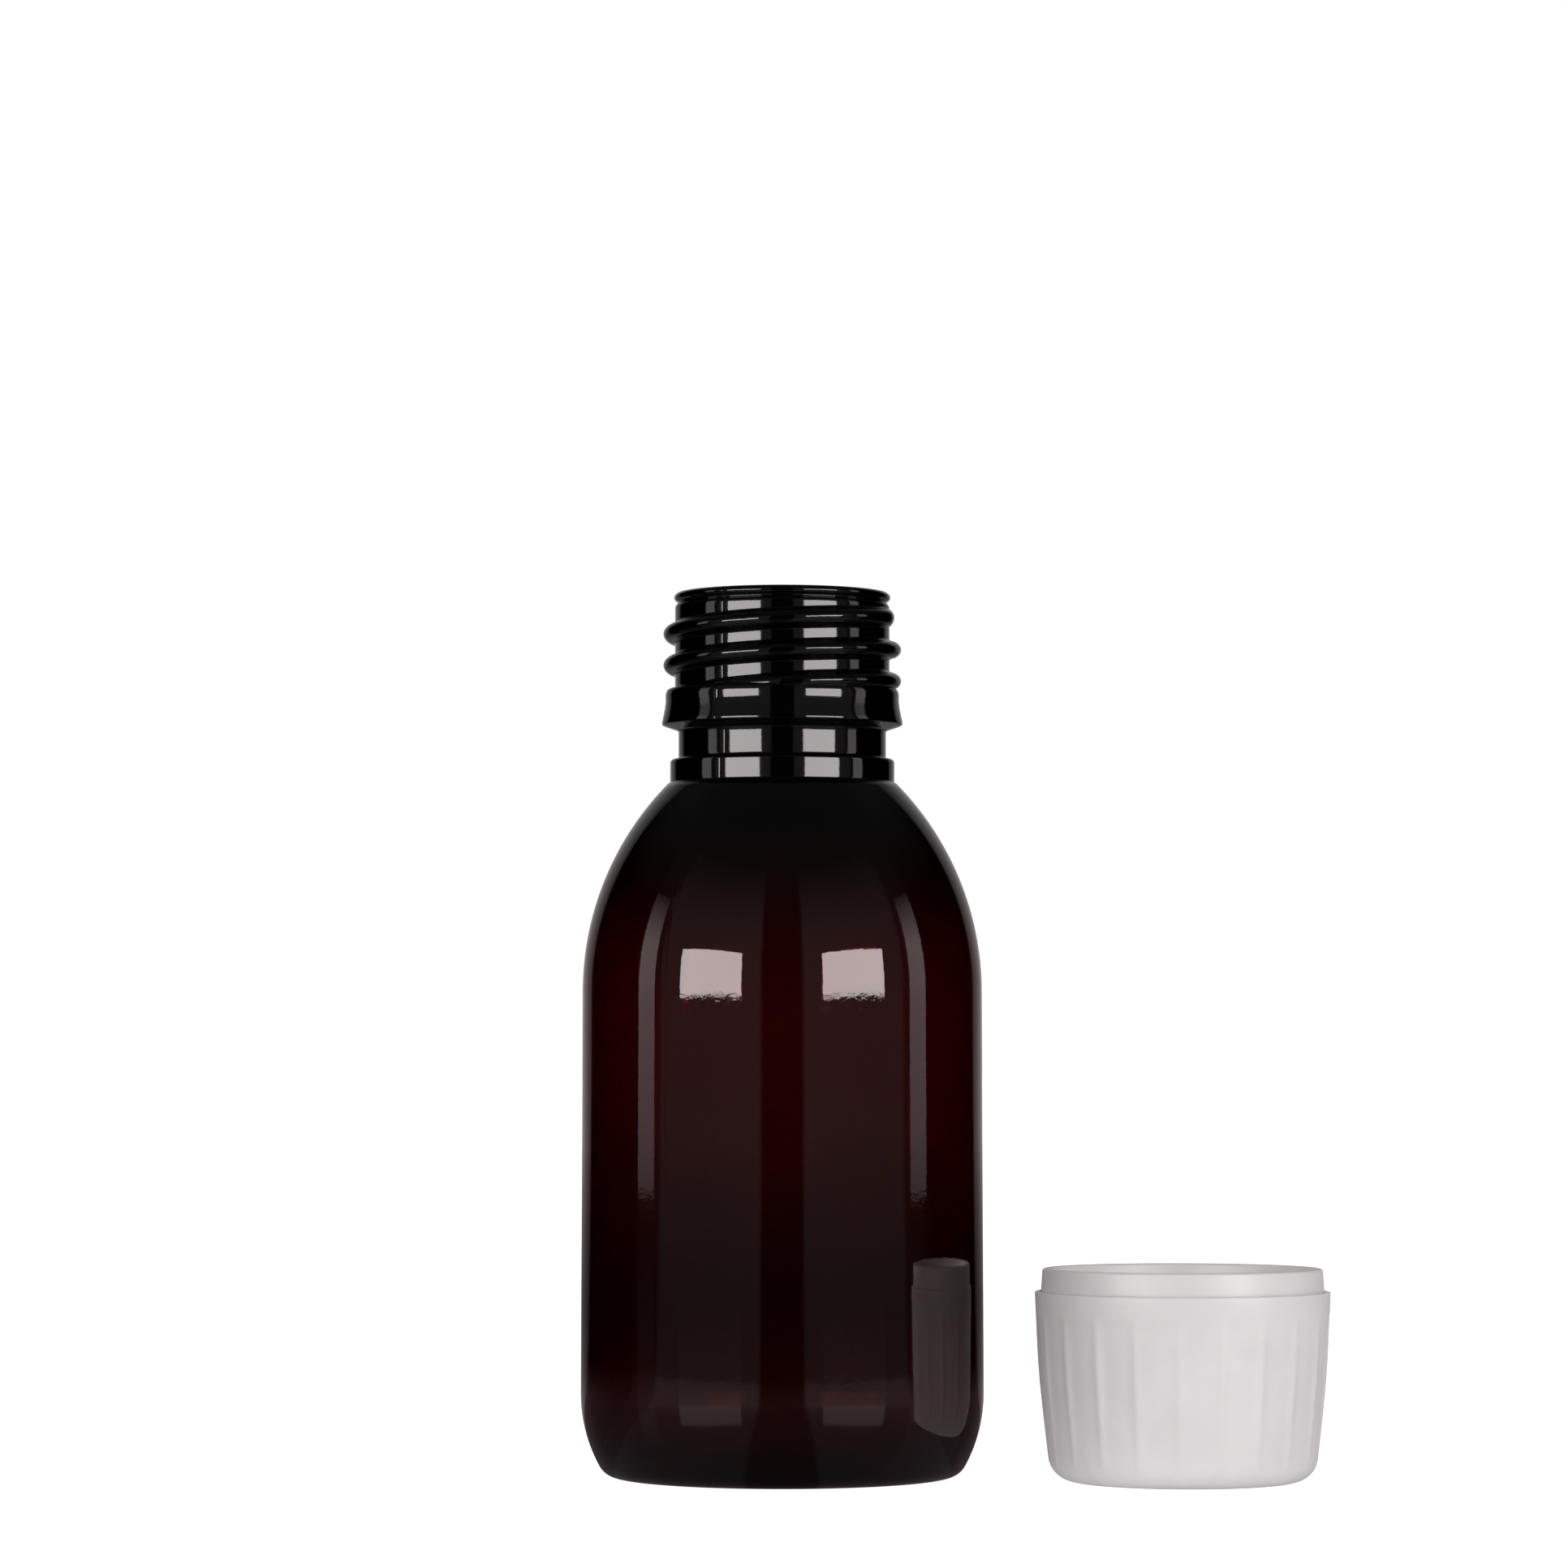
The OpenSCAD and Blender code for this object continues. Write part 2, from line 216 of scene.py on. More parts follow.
def ring(bm, outline, segments):
    """Adds a closed ring with the outline as its section."""
    verts = [bm.verts.new((r, 0, z)) for r, z in outline]
    edges = [bm.edges.new(pair) for pair in zip(verts, verts[1:] + verts[:1])]
    bmesh.ops.spin(bm, geom=verts + edges, cent=(0, 0, 0), axis=(0, 0, 1),
                   angle=math.tau, steps=segments, use_merge=True)
    bmesh.ops.remove_doubles(bm, verts=bm.verts, dist=1e-5)


def sector(bm, outline, start, sweep, steps=8):
    """Adds a closed part of a ring with the outline as its section, angles in degrees."""
    turn = Matrix.Rotation(math.radians(start), 3, "Z")
    face = bm.faces.new([bm.verts.new(turn @ Vector((r, 0, z))) for r, z in outline])
    bmesh.ops.spin(bm, geom=[face, *face.edges, *face.verts], cent=(0, 0, 0),
                   axis=(0, 0, 1), angle=math.radians(sweep), steps=steps)


def bar(bm, outline, depth, place):
    """Adds a closed bar: an outline in the XZ plane, pushed along Y and then placed."""
    face = bm.faces.new([bm.verts.new((x, 0, z)) for x, z in outline])
    pushed = bmesh.ops.extrude_face_region(bm, geom=[face])["geom"]
    far = [g for g in pushed if isinstance(g, bmesh.types.BMVert)]
    bmesh.ops.translate(bm, verts=far, vec=(0, depth, 0))
    bmesh.ops.transform(bm, matrix=place, verts=list(face.verts) + far)


def polar(vert):
    """Direction in degrees and distance from the axis."""
    return math.degrees(math.atan2(vert.co.y, vert.co.x)), math.hypot(vert.co.x, vert.co.y)


def set_polar(vert, direction, distance):
    angle = math.radians(direction)
    vert.co.x = distance * math.cos(angle)
    vert.co.y = distance * math.sin(angle)


def add_thread(bm, wall_r, side, size, start_z, run, fades):
    """Adds a helical ridge to a wall, outwards or inwards, both its ends faded into the wall.

    Its size is half its width and its height. Its run is its first and last angle in degrees,
    and its fades are the angles that its two ends take to rise. It passes the start height at
    angle nought.
    """
    half_w, height = size
    first, last = run
    rise_in, rise_out = fades
    root = -0.3
    step_angle = 3
    least = 0.08
    foot = [(root, half_w + 0.3), (0, half_w + 0.25), (0.05, half_w + 0.12), (0.16, half_w + 0.02)]
    crest = [(height * math.sin(a), half_w * math.cos(a))
             for a in (math.radians(12 + 6.5 * k) for k in range(25))]
    outline = foot + crest + [(h, -z) for h, z in reversed(foot)]
    steps = round((last - first) / step_angle)
    turn = Matrix.Rotation(math.radians(first), 3, "Z")
    low = start_z + PITCH * first / 360
    thread = bmesh.new()
    section = [thread.verts.new(turn @ Vector((wall_r + side * h, 0, low + z)))
               for h, z in outline]
    face = thread.faces.new(section)
    bmesh.ops.spin(thread, geom=[face, *face.edges, *section], cent=(0, 0, 0), axis=(0, 0, 1),
                   angle=math.radians(last - first), steps=steps,
                   dvec=(0, 0, PITCH * (last - first) / 360 / steps))
    root_r = wall_r + side * root
    for vert in thread.verts:
        direction, distance = polar(vert)
        turns = round(((vert.co.z - start_z) / PITCH * 360 - direction) / 360)
        along = direction + 360 * turns
        risen = min((along - first) / rise_in, (last - along) / rise_out)
        grow = min(1, least + max(0, risen))
        set_polar(vert, direction, root_r + (distance - root_r) * grow)
    carrier = bpy.data.meshes.new("thread")
    thread.to_mesh(carrier)
    thread.free()
    bm.from_mesh(carrier)
    bpy.data.meshes.remove(carrier)


def finish_piece(name, bm, centre, crease, material, body, slot, *nodes):
    """Turns a bmesh in millimetres into a finished piece that stands for its CAD nodes."""
    bmesh.ops.recalc_face_normals(bm, faces=bm.faces)
    place = Matrix.Scale(MM, 4) @ Matrix.Translation((centre[0], centre[1], 0))
    bmesh.ops.transform(bm, matrix=place, verts=bm.verts)
    mesh = bpy.data.meshes.new(name)
    bm.to_mesh(mesh)
    bm.free()
    mesh.shade_smooth()
    mesh.set_sharp_from_angle(angle=math.radians(crease))
    mesh.materials.append(material)
    piece = bpy.data.objects.new(name, mesh)
    scene.collection.objects.link(piece)
    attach(piece, body)
    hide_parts(*nodes)
    return piece


# ---------------------------------------------------------------- shader tools


def add(tree, kind, inputs=(), **settings):
    """Adds a node. Inputs are plain values, or sockets that get linked."""
    made = tree.nodes.new(kind)
    for key, value in settings.items():
        setattr(made, key, value)
    for key, value in dict(inputs).items():
        if isinstance(value, bpy.types.NodeSocket):
            tree.links.new(value, made.inputs[key])
        else:
            made.inputs[key].default_value = value
    return made


def maths(tree, operation, *values):
    return add(tree, "ShaderNodeMath", dict(enumerate(values)), operation=operation).outputs[0]


def slope(tree, value, start, end, first=0.0, last=1.0):
    """Goes from the first result to the last while a value goes from start to end."""
    limits = {"Value": value, "From Min": start, "From Max": end, "To Min": first, "To Max": last}
    return add(tree, "ShaderNodeMapRange", limits).outputs["Result"]


def stops(tree, factor, colours):
    """A colour ramp from (position, grey or colour) pairs."""
    ramp = add(tree, "ShaderNodeValToRGB", {"Fac": factor})
    elements = ramp.color_ramp.elements
    while len(elements) < len(colours):
        elements.new(0.5)
    for element, (position, colour) in zip(elements, colours):
        element.position = position
        rgb = colour if isinstance(colour, tuple) else (colour,) * 3
        element.color = (*rgb, 1)
    return ramp.outputs["Color"]


def new_group(name, inputs, outputs):
    """A shader node group with number inputs and typed outputs."""
    group = bpy.data.node_groups.new(name, "ShaderNodeTree")
    for label, value in inputs.items():
        socket = group.interface.new_socket(label, in_out="INPUT", socket_type="NodeSocketFloat")
        socket.default_value = value
    for label, kind in outputs.items():
        group.interface.new_socket(label, in_out="OUTPUT", socket_type=kind)
    return group, group.nodes.new("NodeGroupInput"), group.nodes.new("NodeGroupOutput")


def make_mould_finish():
    """The skin of a moulded part: fine grain, slow flow waves and uneven gloss."""
    group, given, result = new_group(
        "mould_finish",
        {"Grain": 2600, "Grain Depth": 0.3, "Flow": 90, "Flow Depth": 0.5,
         "Roughness": 0.4, "Spread": 0.08},
        {"Roughness": "NodeSocketFloat", "Height": "NodeSocketFloat", "Cloud": "NodeSocketFloat"},
    )
    where = add(group, "ShaderNodeTexCoord").outputs["Object"]
    sizes = given.outputs
    grain = add(group, "ShaderNodeTexNoise",
                {"Vector": where, "Scale": sizes["Grain"], "Detail": 3.0, "Roughness": 0.6})
    flow = add(group, "ShaderNodeTexNoise",
               {"Vector": where, "Scale": sizes["Flow"], "Detail": 2.0, "Distortion": 0.6})
    patch = add(group, "ShaderNodeTexNoise", {"Vector": where, "Scale": 260, "Detail": 4.0})
    cloud = maths(group, "SUBTRACT", patch.outputs["Fac"], 0.5)
    rough = maths(group, "MULTIPLY_ADD", cloud, sizes["Spread"], sizes["Roughness"])
    height = maths(group, "MULTIPLY", grain.outputs["Fac"], sizes["Grain Depth"])
    height = maths(group, "MULTIPLY_ADD", flow.outputs["Fac"], sizes["Flow Depth"], height)
    group.links.new(rough, result.inputs["Roughness"])
    group.links.new(height, result.inputs["Height"])
    group.links.new(flow.outputs["Fac"], result.inputs["Cloud"])
    return group


mould_finish = make_mould_finish()


def new_material(name):
    material = bpy.data.materials.new(name)
    material.use_nodes = True
    tree = material.node_tree
    shader = tree.nodes["Principled BSDF"] if "Principled BSDF" in tree.nodes else None
    if shader is None:
        shader = add(tree, "ShaderNodeBsdfPrincipled")
        output = add(tree, "ShaderNodeOutputMaterial")
        tree.links.new(shader.outputs[0], output.inputs["Surface"])
    return material, tree, shader


def moulded(tree, shader, bump, **values):
    """Puts the mould finish on a shader, and returns the group's node."""
    finish = add(tree, "ShaderNodeGroup", node_tree=mould_finish)
    for label, value in values.items():
        finish.inputs[label.replace("_", " ")].default_value = value
    relief = add(tree, "ShaderNodeBump",
                 {"Height": finish.outputs["Height"], "Strength": bump, "Distance": 0.0002})
    tree.links.new(relief.outputs["Normal"], shader.inputs["Normal"])
    tree.links.new(finish.outputs["Roughness"], shader.inputs["Roughness"])
    return finish


def object_height(tree):
    """Height above the table, in metres, of the point being shaded."""
    where = add(tree, "ShaderNodeTexCoord").outputs["Object"]
    return add(tree, "ShaderNodeSeparateXYZ", {"Vector": where}).outputs["Z"]


def amber_plastic():
    """Dark red-brown clear polyester: thin in the body, thick in the neck, shoulder and foot."""
    material, tree, shader = new_material("amber_polyester")
    height = maths(tree, "DIVIDE", object_height(tree), LIP_Z * MM)
    wall = [
        (0.0, (0.02, 0.005, 0.005)),
        (0.03, (0.10, 0.015, 0.018)),
        (0.10, (0.18, 0.024, 0.024)),
        (0.40, (0.195, 0.022, 0.022)),
        (0.52, (0.215, 0.024, 0.024)),
        (0.60, (0.185, 0.022, 0.022)),
        (0.68, (0.09, 0.014, 0.014)),
        (0.76, (0.008, 0.005, 0.005)),
        (0.80, (0.002, 0.001, 0.001)),
    ]
    tree.links.new(stops(tree, height, wall), shader.inputs["Base Color"])
    # The injection-moulded neck is less glossy than the blown body and keeps its tool marks
    in_neck = stops(tree, height, [(0.775, 0), (0.785, 1)])
    rough = slope(tree, in_neck, 0.0, 1.0, 0.006, 0.06)
    finish = add(tree, "ShaderNodeGroup",
                 {"Grain": 1500, "Grain Depth": 0.3, "Flow": 60, "Flow Depth": 0.4,
                  "Roughness": rough, "Spread": 0.012},
                 node_tree=mould_finish)
    tree.links.new(finish.outputs["Roughness"], shader.inputs["Roughness"])
    where = add(tree, "ShaderNodeTexCoord").outputs["Object"]
    drawn = add(tree, "ShaderNodeMapping", {"Vector": where, "Scale": (60, 60, 5200)})
    lines = add(tree, "ShaderNodeTexNoise",
                {"Vector": drawn.outputs["Vector"], "Scale": 1.0, "Detail": 2.0})
    marks = maths(tree, "MULTIPLY", lines.outputs["Fac"], in_neck)
    relief = maths(tree, "MULTIPLY_ADD", marks, 0.8, finish.outputs["Height"])
    bump = add(tree, "ShaderNodeBump", {"Height": relief, "Strength": 0.06, "Distance": 0.0001})
    tree.links.new(bump.outputs["Normal"], shader.inputs["Normal"])
    shader.inputs["Transmission Weight"].default_value = 1
    shader.inputs["IOR"].default_value = 1.57
    return material


def white_plastic(name, colour, rough, grain):
    """Satin white polyolefin with a spark-eroded skin."""
    material, tree, shader = new_material(name)
    finish = moulded(tree, shader, 0.35, Grain=grain, Grain_Depth=0.35, Flow=140,
                     Flow_Depth=0.4, Roughness=rough, Spread=0.16)
    darker = tuple(c * 0.955 for c in colour)
    shade = stops(tree, finish.outputs["Cloud"], [(0.35, darker), (0.65, colour)])
    tree.links.new(shade, shader.inputs["Base Color"])
    shader.inputs["IOR"].default_value = 1.5
    shader.inputs["Subsurface Weight"].default_value = 0.12
    shader.inputs["Subsurface Radius"].default_value = (1.0, 0.85, 0.75)
    shader.inputs["Subsurface Scale"].default_value = 0.0012
    return material


def foam():
    """Closed-cell foam of the sealing liner, with a thin pressed skin."""
    material, tree, shader = new_material("liner_foam")
    where = add(tree, "ShaderNodeTexCoord").outputs["Object"]
    cells = add(tree, "ShaderNodeTexVoronoi", {"Vector": where, "Scale": 2600})
    cloud = add(tree, "ShaderNodeTexNoise", {"Vector": where, "Scale": 400, "Detail": 4.0})
    relief = add(tree, "ShaderNodeBump",
                 {"Height": cells.outputs["Distance"], "Strength": 0.5, "Distance": 0.0002})
    shade = stops(tree, cloud.outputs["Fac"],
                  [(0.3, (0.80, 0.80, 0.77)), (0.7, (0.88, 0.88, 0.86))])
    tree.links.new(shade, shader.inputs["Base Color"])
    tree.links.new(relief.outputs["Normal"], shader.inputs["Normal"])
    shader.inputs["Roughness"].default_value = 0.75
    shader.inputs["IOR"].default_value = 1.45
    return material


amber = amber_plastic()
grip_white = white_plastic("grip_polypropylene", (0.83, 0.821, 0.824), 0.42, 2400)
cap_white = white_plastic("cap_polyethylene", (0.86, 0.855, 0.85), 0.34, 3200)
band_white = white_plastic("band_polyethylene", (0.83, 0.821, 0.824), 0.38, 2800)
liner_white = foam()


# ---------------------------------------------------------------- bottle


# Arcs of the body: where the shoulder's and the heel's centres lie, and how far they turn
SHOULDER_CX = BODY_TOP_R - SHOULDER_R
SHOULDER_ANGLE = math.degrees(math.acos((COLLAR_R + 0.25 - SHOULDER_CX) / SHOULDER_R))
SHOULDER_CZ = SHOULDER_Z - SHOULDER_R * math.sin(math.radians(SHOULDER_ANGLE))
HEEL_CX = BODY_R - HEEL_R
HEEL_ANGLE = math.degrees(math.asin((HEEL_H - FOOT_BLEND_R) / (HEEL_R - FOOT_BLEND_R)))
FOOT_R = HEEL_CX + (HEEL_R - FOOT_BLEND_R) * math.cos(math.radians(HEEL_ANGLE))
FOOT_IN_R = FOOT_R - FOOT_W
DOME_R = (FOOT_IN_R ** 2 + PUSH_UP_H ** 2) / (2 * PUSH_UP_H)
DOME_ANGLE = math.degrees(math.asin(FOOT_IN_R / DOME_R))
GATE_R = 1.7


def bottle_outside():
    """From the centre of the base, over the shoulder and the neck finish, to the lip."""
    gate_angle = math.degrees(math.asin(GATE_R / DOME_R))
    gate = soften([
        (0, PUSH_UP_H - 0.55),
        (GATE_R - 0.3, PUSH_UP_H - 0.5),
        (GATE_R, PUSH_UP_H - 0.1),
    ], 0.25)
    dome = arc(0, PUSH_UP_H - DOME_R, DOME_R, 90 - gate_angle - 1, 90 - DOME_ANGLE, 14)
    foot = arc(FOOT_R, FOOT_BLEND_R, FOOT_BLEND_R, -90, -HEEL_ANGLE, 8)
    heel = arc(HEEL_CX, HEEL_H, HEEL_R, -HEEL_ANGLE + 2, 0, 14)
    shoulder = arc(SHOULDER_CX, SHOULDER_CZ, SHOULDER_R, 0, SHOULDER_ANGLE, 32)
    neck = soften([
        shoulder[-1],
        (COLLAR_R, SHOULDER_Z + 0.1),
        (COLLAR_R, COLLAR_TOP_Z - 0.25),
        (COLLAR_R - 0.25, COLLAR_TOP_Z),
        (GROOVE_R, COLLAR_TOP_Z),
        (GROOVE_R, LIP_Z - 15.9),
        (BEAD_R - 0.3, LIP_Z - 15.35),
        (BEAD_R, LIP_Z - 15.2),
        (BEAD_R - 0.02, LIP_Z - 14.9),
        (BEAD_TOP_R + 0.1, LIP_Z - 13.4),
        (BEAD_TOP_R, LIP_Z - 12.6),
        (BEAD_TOP_R, LIP_Z - 11.7),
        (BEAD_TOP_R - 0.15, BEAD_TOP_Z - 0.2),
        (BEAD_TOP_R - 0.6, BEAD_TOP_Z),
        (NECK_R, BEAD_TOP_Z),
        (NECK_R, LIP_Z - 1.5),
        (NECK_R - 0.4, LIP_Z - 1.1),
        (LIP_R + 0.05, LIP_Z - 0.72),
        (LIP_R + 0.05, LIP_Z - 0.3),
        (LIP_R - 0.3, LIP_Z),
    ], 0.26)
    body = add_rows(gate + dome + foot + heel + shoulder, HEEL_H, SHOULDER_Z, 1.6)
    return body + add_rows(neck[1:], SHOULDER_Z, LIP_Z - 1.45, 0.35)


def bottle_inside():
    """From the lip down the bore to the centre of the base, one wall inside the outside."""
    neck = soften([
        (BORE_R + 0.35, LIP_Z),
        (BORE_R, LIP_Z - 0.35),
        (BORE_R, SHOULDER_Z + 0.8),
        (BORE_R + 1.1, SHOULDER_Z - 0.4),
    ], 0.3)
    shoulder = arc(SHOULDER_CX, SHOULDER_CZ, SHOULDER_R - WALL_T, SHOULDER_ANGLE - 3, 0, 30)
    heel = arc(HEEL_CX, HEEL_H, HEEL_R - WALL_T, 0, -HEEL_ANGLE + 2, 14)
    foot = arc(FOOT_R, FOOT_BLEND_R, FOOT_BLEND_R - WALL_T, -HEEL_ANGLE, -90, 6)
    dome = arc(0, PUSH_UP_H - DOME_R, DOME_R + WALL_T, 90 - DOME_ANGLE, 90, 14)
    return add_rows(neck + shoulder + heel + foot + dome, HEEL_H, LIP_Z, 1.6)


def wave_noise(direction, across, along):
    """Smooth noise that closes on itself round the axis, for the slow waves of a blown wall."""
    angle = math.radians(direction)
    return noise.noise(Vector((math.cos(angle) * across, math.sin(angle) * across, along)))


def make_bottle():
    bm = revolve(bottle_outside(), bottle_inside(), 256)
    outside = bm.verts.layers.float["outside"]
    crowding = 0.7
    neck_line, body_line = 0.06, 0.012
    outer_wave, inner_wave = 0.006, 0.05
    for vert in bm.verts:
        direction, distance = polar(vert)
        if distance < 1e-4:
            continue
        # Columns crowd together at the two mould parting lines
        double = math.sin(2 * math.radians(direction))
        direction += PARTING_DIR - math.degrees(crowding / 2 * double)
        z = vert.co.z
        at_parting = min(abs((direction - PARTING_DIR + 90) % 180 - 90), 90) < 0.1
        if vert[outside] > 0.5:
            if at_parting and distance > 10:
                distance += neck_line if z > SHOULDER_Z else body_line
            if HEEL_H < z < SHOULDER_Z:
                distance += outer_wave * wave_noise(direction, 2.2, z / 20)
        elif HEEL_H < z < SHOULDER_Z:
            distance += inner_wave * wave_noise(direction, 2.6, z / 12 + 9)
        set_polar(vert, direction, distance)
    add_thread(bm, NECK_R, 1, (THREAD_HALF_W, THREAD_H), THREAD_TOP_Z, NECK_RUN, NECK_FADES)
    return finish_piece("amber_bottle", bm, (0, 0), 42, amber, "bottle", "bottle_plastic", "bottle")


# ---------------------------------------------------------------- outer cap


def grip_outside():
    side = [
        (SHELL_R - 0.89, 0.36 * SHELL_H),
        (SHELL_R - 0.52, 0.53 * SHELL_H),
        (SHELL_R - 0.32, 0.66 * SHELL_H),
        (SHELL_R - 0.05, SHELL_H - 1.2),
    ]
    mouth = soften([side[-1], (SHELL_R, SHELL_H), (SHELL_R - 0.5, SHELL_H)], 0.2)
    crown = soften([(0, CROWN_RECESS), (RECESS_R, CROWN_RECESS), (RECESS_R + 0.35, 0),
                    (CROWN_EDGE_R + 0.3, 0)], 0.2)
    corner = arc(CROWN_EDGE_R, CROWN_CORNER_R, CROWN_CORNER_R, -84, -8, 12)
    return add_rows(crown + corner + side, 0.5, SHELL_H - 1, 0.55) + mouth[1:]


def grip_inside():
    return soften([
        (BAND_R + 0.12, SHELL_H),
        (BAND_R + 0.12, SHELL_H - PUSH - 0.1),
        (SKIRT_R + 0.72, BAND_START - PUSH - 0.1),
        (CATCH_R + 0.15, CATCH_Z + 1.8),
        (SKIRT_R + 0.15, CATCH_Z + 1.5),
        (SKIRT_R + 0.15, CATCH_Z + 1.05),
        (CATCH_R + 0.15, CATCH_Z + 0.85),
        (CATCH_R + 0.15, 0.66 * SHELL_H),
        (SHELL_R - 1.36, 0.53 * SHELL_H),
        (SHELL_R - 1.81, 0.36 * SHELL_H),
        (CROWN_EDGE_R + 2.05, 3),
        (CROWN_EDGE_R + 1.4, CROWN_UNDER + 0.6),
        (CROWN_EDGE_R + 0.8, CROWN_UNDER),
        (0, CROWN_UNDER),
    ], 0.2)


# Depth of a grip flute by height
FLUTE_DEPTHS = [(1.5, 0), (2.4, 0.1), (7.7, 0.22), (11.3, 0.25), (14.1, 0.22), (18.2, 0.12),
                (18.9, 0)]
FLUTE_SHARE = 0.96


def flute_depth(direction, z):
    """How far a grip flute dips into the side at a point: shallow, with narrow ribs between."""
    deepest = 0
    for (z0, d0), (z1, d1) in zip(FLUTE_DEPTHS, FLUTE_DEPTHS[1:]):
        if z0 <= z <= z1:
            deepest = d0 + (d1 - d0) * (z - z0) / (z1 - z0)
    share = abs(((direction - RIB_DIR) * FLUTES / 360) % 1 - 0.5) * 2
    return deepest * max(0, 1 - (share / FLUTE_SHARE) ** 5)


def add_lugs(bm, low, high, offset):
    """Twelve drive lugs with rounded edges on a crown."""
    pitch = 360 / LUGS
    section = soften([(LUG_IN_R, low), (LUG_OUT_R, low), (LUG_OUT_R, high), (LUG_IN_R, high)],
                     0.15, closed=True)
    for i in range(LUGS):
        sector(bm, section, (i + offset) * pitch, pitch / 3, 6)


def make_grip_shell():
    bm = revolve(grip_outside(), grip_inside(), FLUTES * 14)
    outside = bm.verts.layers.float["outside"]
    for vert in bm.verts:
        direction, distance = polar(vert)
        if distance < 1e-4:
            continue
        direction += RIB_DIR
        if vert[outside] > 0.5:
            distance -= flute_depth(direction, vert.co.z)
        set_polar(vert, direction, distance)
    add_lugs(bm, CROWN_UNDER - 0.05, CROWN_UNDER + LUG_H, 0)
    return finish_piece("grip_shell", bm, CLOSURE_AXIS, 36, grip_white, "outer_cap",
                        "outer_cap_plastic", "outer_cap")


def make_arrows():
    """Three raised arrows in the recess of the crown, which show the way to turn."""
    bm = bmesh.new()
    low, high = CROWN_RECESS - ARROW_H, CROWN_RECESS
    middle = ARROW_R + ARROW_W / 2
    section = soften([(ARROW_R, high), (ARROW_R, low), (ARROW_R + ARROW_W, low),
                      (ARROW_R + ARROW_W, high)], 0.1)
    for i in range(ARROWS):
        turn = Matrix.Rotation(math.tau * i / ARROWS, 4, "Z")
        sector(bm, section, 360 * i / ARROWS, ARROW_SWEEP, 24)
        tip = [turn @ Vector(p) for p in ((middle - ARROW_HEAD / 2, 0, high),
                                          (middle + ARROW_HEAD / 2, 0, high),
                                          (middle, -ARROW_HEAD, high))]
        face = bm.faces.new([bm.verts.new(p) for p in tip])
        pushed = bmesh.ops.extrude_face_region(bm, geom=[face])["geom"]
        top = [g for g in pushed if isinstance(g, bmesh.types.BMVert)]
        bmesh.ops.translate(bm, verts=top, vec=(0, 0, low - high))
        rim = {e for v in top for e in v.link_edges}
        bmesh.ops.bevel(bm, geom=list(rim), offset=0.08, segments=2, profile=0.5,
                        material=-1, affect="EDGES")
    return finish_piece("crown_arrows", bm, CLOSURE_AXIS, 36, grip_white, "outer_cap",
                        "outer_cap_plastic", "turn_arrows")


def make_fingers():
    """Slanted plastic fingers under the outer crown that hold the two crowns apart."""
    bm = bmesh.new()
    half = FINGER_RUN / 2
    rise = INNER_TOP - CROWN_UNDER
    upper = [(-half + 2 * FINGER_T + (2 * half - 2 * FINGER_T) * t,
              CROWN_UNDER + (rise - FINGER_T) * t ** 1.35) for t in (0.12 * k for k in range(9))]
    lower = [(half, INNER_TOP - 0.1), (half - 0.1, INNER_TOP), (half - FINGER_T, INNER_TOP)]
    under = [(-half + (2 * half - FINGER_T) * t, CROWN_UNDER + rise * t ** 1.25)
             for t in (0.85, 0.7, 0.55, 0.4, 0.25, 0.12)]
    outline = upper + lower + under + [(-half, CROWN_UNDER)]
    for i in range(FINGERS):
        quarter = Matrix.Rotation(math.radians(90), 4, "Z")
        outwards = Matrix.Translation((FINGER_IN_R + FINGER_W, 0, 0)) @ quarter
        bar(bm, outline, FINGER_W, Matrix.Rotation(math.tau * i / FINGERS, 4, "Z") @ outwards)
    piece = finish_piece("spring_finger_set", bm, CLOSURE_AXIS, 30, grip_white, "outer_cap",
                         "outer_cap_plastic", "spring_fingers")
    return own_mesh(piece)


# ---------------------------------------------------------------- inner cap, liner and band


def thread_cap_outside():
    return add_rows(soften([
        (0, INNER_TOP),
        (UPPER_R + 0.3, INNER_TOP),
        (UPPER_R + 0.95, INNER_TOP + 0.6),
        (ROOT_R + 0.55, INNER_TOP + 4),
        (SKIRT_R, 0.53 * SHELL_H),
        (SKIRT_R, CATCH_Z - 0.3),
        (CATCH_R, CATCH_Z),
        (CATCH_R, CATCH_Z + 0.8),
        (SKIRT_R, CATCH_Z + 0.8),
        (SKIRT_R, SKIRT_END),
        (OVER_BEAD_R, SKIRT_END),
    ], 0.15), INNER_TOP + 1, SKIRT_END, 1.5)


def thread_cap_inside():
    return add_rows(soften([
        (OVER_BEAD_R, SKIRT_END - 0.1),
        (OVER_BEAD_R, BEAD_DEPTH - 0.4),
        (ROOT_R, BEAD_DEPTH - 1),
        (ROOT_R, LIP_DEPTH + 2.6),
        (UPPER_R, LIP_DEPTH + 1.9),
        (UPPER_R, LIP_DEPTH + 0.7),
        (UPPER_R - 0.25, LIP_DEPTH + 0.4),
        (UPPER_R - 0.25, LIP_DEPTH + 0.2),
        (UPPER_R, LIP_DEPTH + 0.05),
        (UPPER_R, INNER_UNDER),
        (0, INNER_UNDER),
    ], 0.12), LIP_DEPTH + 0.7, SKIRT_END - 3.5, 1.5)


